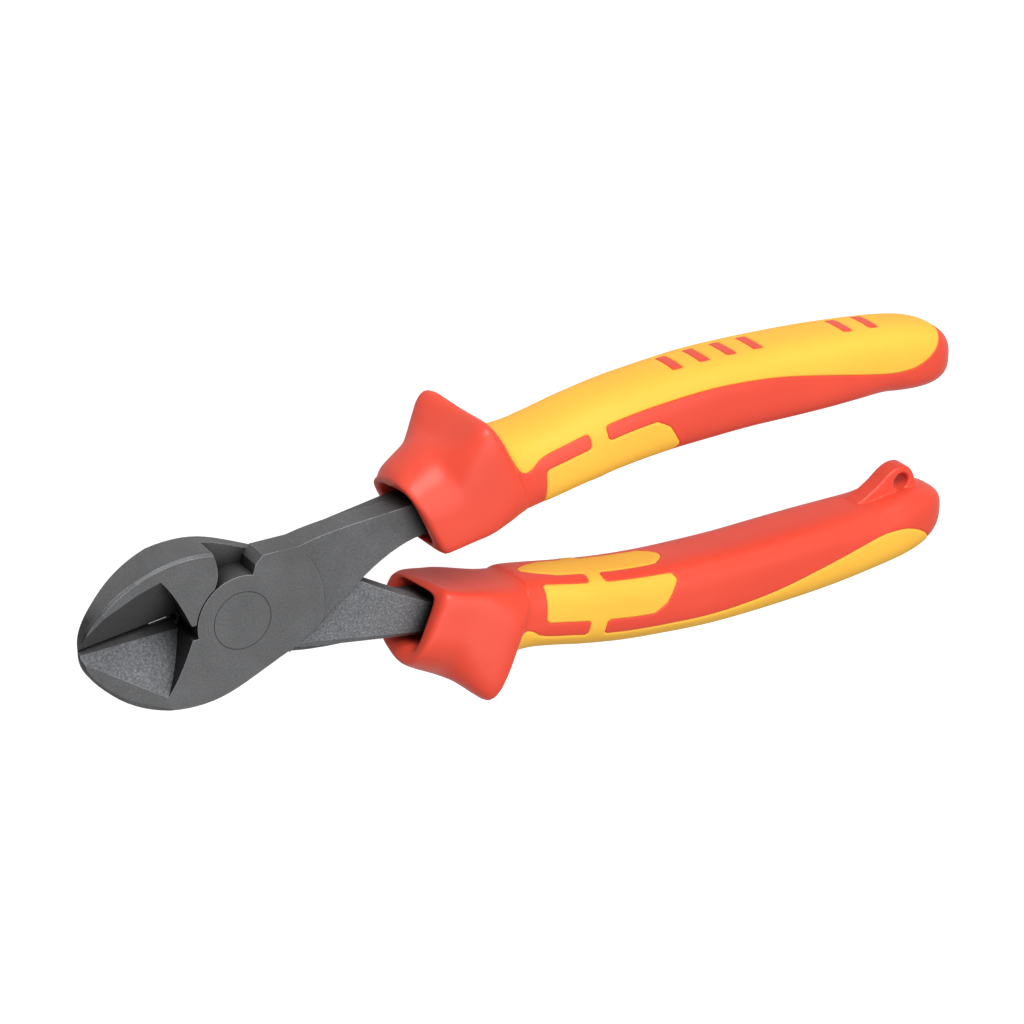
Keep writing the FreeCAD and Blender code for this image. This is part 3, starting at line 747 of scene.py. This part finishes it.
def steel_material(name, blasted, where, painted_shade):
    """Forged steel with a dark oxide finish: smooth where ground, grainy where blasted.

    where(n) gives the share of blasting over the piece and painted_shade(n) the share of
    painted shade on faces that get little light, both from its nodes.
    """
    n = Nodes(name)
    fine = n.noise(*STEEL_FINE)
    coarse = n.noise(*STEEL_COARSE)
    cloud = n.noise(*STEEL_CLOUD)
    smooth = n.ramp(fine, list(zip((0.32, 0.50, 0.70), shades(GROUND, GROUND_SHADES))))
    rough = n.ramp(coarse, list(zip((0.34, 0.50, 0.66), shades(blasted, BLASTED_SHADES))))
    blasting = where(n)
    base = n.mix(blasting, smooth, rough)
    base = n.times(base, n.ramp(cloud, [(0.3, CLOUD), (0.7, WHITE)]))
    soft = n.soft_edges(STEEL_EDGE * MM)
    # Worn edges, made lighter still as a painted highlight along the creases, away from the rivet.
    worn_and_highlit = n.math("MULTIPLY", n.edges(soft), n.past(cloud, 0.25, 0.50))
    worn_and_highlit = n.math("MULTIPLY", worn_and_highlit, n.past(n.off_axis(), *[d * MM for d in WORN_EDGE_HIGHLIGHT_FROM]))
    base = n.mix(worn_and_highlit, base, shades(GROUND, [WORN_EDGE_HIGHLIGHT_TINT])[0])
    from_seam = n.math("ABSOLUTE", n.math("SUBTRACT", n.off_axis(), RIVET_R * MM), 0.0)
    seam = n.ramp(n.past(from_seam, 0.0, SEAM_WIDTH * MM), [(0.0, SEAM_LINE), (1.0, WHITE)])
    base = n.times(base, seam)
    # Painted shade in narrow hollows, where little light gets in.
    base = n.times(base, n.ramp(n.openness(SHADED_HOLLOW_SIZE * MM), [(0.38, NARROW_HOLLOW_SHADE), (0.93, WHITE)]))
    # Painted shade on the heel wall and on the hollow's faces that face away from the light.
    base = n.times(base, n.ramp(painted_shade(n), [(0.0, WHITE), (1.0, HOLLOW_FACE_SHADE)]))
    n.link(base, n.shader.inputs["Base Color"])
    n.set(Metallic=0.30, Specular_IOR_Level=0.35)
    n.link(n.span(fine, 0.45, 0.62), n.shader.inputs["Roughness"])
    skin = n.bump(fine, 0.25, FINE_HEIGHT * MM, soft)
    grain = n.bump(n.math("MULTIPLY", coarse, blasting), 0.7, COARSE_HEIGHT * MM, skin)
    n.link(grain, n.shader.inputs["Normal"])
    return n.material


def beyond(n, start, end):
    """0 to 1 along the tool, as x passes from start to end."""
    return n.past(n.part(n.place, "X"), start * MM, end * MM)


def blasted_neck(n):
    """The rear lever is ground on its jaw and blasted on its neck."""
    return beyond(n, *REAR_NECK)


def blasted_floor(n):
    """The front lever is blasted on the hollow's floor and lightly beyond the ground ring."""
    tilt = n.part(n.normal, "Y")
    floor = n.math("MULTIPLY", n.past(tilt, *FLOOR_Y[0]), n.past(tilt, *FLOOR_Y[1]))
    floor = n.math("MULTIPLY", beyond(n, *FLOOR_AHEAD), floor)
    neck = n.math("MULTIPLY", beyond(n, *FRONT_NECK), FRONT_NECK_SHARE)
    return n.math("MAXIMUM", floor, neck)


def nowhere(n):
    """0 all over the piece."""
    return beyond(n, *NOWHERE)


def heel_wall_shade(n):
    """Painted shade on the wall that ends the jaw's hollow, which faces the tip and gets little
    light.
    """
    return n.math("MULTIPLY", beyond(n, *JAW_AHEAD), n.past(n.part(n.normal, "X"), *WALL_X))


def wall_and_floor_shade(n):
    """Painted shade on the heel wall and, more lightly, on the hollow's floor, which faces away from
    the light.
    """
    faces_away = n.past(n.part(n.normal, "Y"), *SHADED_Y)
    floor = n.math("MULTIPLY", faces_away, n.past(n.part(n.normal, "Z"), *SHADED_Z))
    floor = n.math("MULTIPLY", beyond(n, *JAW_AHEAD), floor)
    return n.math("MAXIMUM", heel_wall_shade(n), n.math("MULTIPLY", floor, SHADED_SHARE))


def plastic_material(name, colour, dark, roughness, grain, coat):
    """Moulded plastic: faint tone changes and a fine spark-eroded skin."""
    n = Nodes(name)
    skin = n.noise(*PLASTIC_SKIN)
    tone = n.noise(*PLASTIC_TONE)
    n.link(n.ramp(tone, [(0.3, dark), (0.7, colour)]), n.shader.inputs["Base Color"])
    n.link(n.span(skin, roughness - 0.05, roughness + 0.07), n.shader.inputs["Roughness"])
    n.link(n.bump(skin, grain, SKIN_HEIGHT * MM), n.shader.inputs["Normal"])
    n.set(Specular_IOR_Level=0.32, Coat_Weight=coat, Coat_Roughness=0.35)
    n.set(Subsurface_Weight=0.06, Subsurface_Radius=(1.2 * MM, 0.5 * MM, 0.3 * MM),
          Subsurface_Scale=1.0)
    return n.material


STEELS = {
    "front_lever": steel_material("front_lever_steel", BLASTED_JAW, blasted_floor, heel_wall_shade),
    "rear_lever": steel_material("rear_lever_steel", BLASTED, blasted_neck, wall_and_floor_shade),
    "pivot_rivet": steel_material("rivet_steel", BLASTED, nowhere, nowhere),
}
RED = plastic_material("red_sleeve_plastic", (0.74, 0.068, 0.036), (0.69, 0.060, 0.031),
                       roughness=0.37, grain=0.10, coat=0.10)
YELLOW = plastic_material("yellow_soft_rubber", (0.88, 0.47, 0.050), (0.84, 0.44, 0.044),
                          roughness=0.60, grain=0.14, coat=0.0)
LINER = plastic_material("inner_insulation", (0.30, 0.025, 0.015), (0.24, 0.02, 0.012),
                         roughness=0.6, grain=0.1, coat=0.0)


# ------------------------------------------------------------------ carried-over pieces
def dress(node, material):
    """Gives a CAD piece its one material."""
    NODES[node].data.materials.clear()
    NODES[node].data.materials.append(material)


for lever_or_rivet, steel in STEELS.items():
    dress(lever_or_rivet, steel)
for liner in ("upper_tang_liner", "lower_tang_liner"):
    dress(liner, LINER)

# ------------------------------------------------------------------ handles
skin, skin_normals, skin_field = handle_sheet()
sleeve_verts, sleeve_faces = sleeve_mesh(skin, skin_normals, skin_field)
grip_verts, grip_faces = grip_mesh(skin, skin_normals, skin_field)
eye_verts, eye_faces = eye_mesh()
for side, body, mirror in (("upper", JOINT["parent"], False), ("lower", JOINT["child"], True)):
    verts = sleeve_verts
    faces = sleeve_faces
    if mirror:
        offset = len(verts)
        verts = np.vstack([verts, eye_verts])
        faces = faces + [[v + offset for v in face] for face in eye_faces]
    sleeve = make_object(side + "_sleeve_skin", verts, faces, RED, body, mirror)
    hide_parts(side + "_sleeve")
    grip = make_object(side + "_grip_skin", grip_verts, grip_faces, YELLOW, body,
                       mirror)
    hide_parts(side + "_soft_grip")

# ------------------------------------------------------------------ floor, light, camera
# Places on the stage are in metres.
FLOOR_HALF = 3.0
FLOOR_SHADES = ((0.30, 0.30, 0.30), (0.33, 0.33, 0.33))
FLOOR_NOISE = (3.0, 2.0, 0.5)          # scale, detail, roughness
FLOOR_GAP = 0.0002         # the floor lies this far under the tool
FLOOR_GLOW = (0.25, 0.95)  # how bright the floor is to the tool, and to the camera
WORLD_LIGHT = 0.36
LIGHTS = (                 # name, place from the tool's centre, size, power
    ("key_light", (-0.05, 0.88, 0.66), 0.8, 12.5),
    ("fill_light", (0.10, 0.0, 1.0), 1.0, 5.0),
)
TOOL_CENTRE = (0.06, 0.0, 0.0)         # from the pivot
CAMERA_TARGET = (0.06237, 0.00499, 0.0)
CAMERA_DISTANCE = 0.59589
CAMERA_AZIMUTH = 137.08
CAMERA_ELEVATION = 51.45
CAMERA_ROLL = -125.58
FILM_WIDTH = 36.0          # mm
FOCAL_LENGTH = 105.46875   # mm
NEAREST = 0.01             # nearest distance that the camera sees


def studio_floor():
    """Pale floor that is partly lit from within, so that it shows plain white."""
    n = Nodes("pale_floor")
    dark, light = FLOOR_SHADES
    n.link(n.ramp(n.noise(*FLOOR_NOISE), [(0.3, dark), (0.7, light)]),
           n.shader.inputs["Base Color"])
    n.set(Roughness=0.9, Specular_IOR_Level=0.1, Emission_Color=(*WHITE, 1.0))
    camera_ray = n.tree.nodes.new("ShaderNodeLightPath").outputs["Is Camera Ray"]
    n.link(n.span(camera_ray, *FLOOR_GLOW), n.shader.inputs["Emission Strength"])
    low = CAD_BOUNDS[0][2] - FLOOR_GAP
    mesh = bpy.data.meshes.new("studio_floor")
    corners = [(x * FLOOR_HALF, y * FLOOR_HALF, low) for x, y in ((-1, -1), (1, -1), (1, 1), (-1, 1))]
    mesh.from_pydata(corners, [], [(0, 1, 2, 3)])
    mesh.materials.append(n.material)
    floor = bpy.data.objects.new("studio_floor", mesh)
    bpy.context.scene.collection.objects.link(floor)


def area_light(name, place, target, size, power):
    """Round soft light that faces the target."""
    lamp = bpy.data.lights.new(name, "AREA")
    lamp.shape = "DISK"
    lamp.size = size
    lamp.energy = power
    obj = bpy.data.objects.new(name, lamp)
    obj.location = place
    obj.rotation_euler = (target - place).to_track_quat("-Z", "Y").to_euler()
    bpy.context.scene.collection.objects.link(obj)


def studio_world():
    """Even white light from all round."""
    world = bpy.data.worlds.new("studio_world")
    world.use_nodes = True
    background = world.node_tree.nodes["Background"]
    background.inputs["Color"].default_value = (*WHITE, 1.0)
    background.inputs["Strength"].default_value = WORLD_LIGHT
    bpy.context.scene.world = world


def camera():
    """Long lens above the jaws, turned so that the tool lies across the picture."""
    azimuth = math.radians(CAMERA_AZIMUTH)
    elevation = math.radians(CAMERA_ELEVATION)
    roll = math.radians(CAMERA_ROLL)
    target = Vector(PIVOT) + Vector(CAMERA_TARGET)
    away = Vector((math.cos(elevation) * math.cos(azimuth),
                   math.cos(elevation) * math.sin(azimuth), math.sin(elevation)))
    level = (-away).cross(Vector((0, 0, 1))).normalized()
    up = level.cross(-away)
    top = up * math.cos(roll) + level * math.sin(roll)
    right = (-away).cross(top)
    lens = bpy.data.cameras.new("studio_camera")
    lens.sensor_width = FILM_WIDTH
    lens.lens = FOCAL_LENGTH
    lens.clip_start = NEAREST
    obj = bpy.data.objects.new("studio_camera", lens)
    turn = Matrix((right, top, away)).transposed().to_4x4()
    obj.matrix_world = Matrix.Translation(target + away * CAMERA_DISTANCE) @ turn
    bpy.context.scene.collection.objects.link(obj)
    bpy.context.scene.camera = obj


studio_floor()
centre = Vector(PIVOT) + Vector(TOOL_CENTRE)
for light, place, size, power in LIGHTS:
    area_light(light, centre + Vector(place), centre, size, power)
studio_world()
bpy.context.scene.view_settings.view_transform = "Standard"
camera()

bpy.context.view_layer.update()
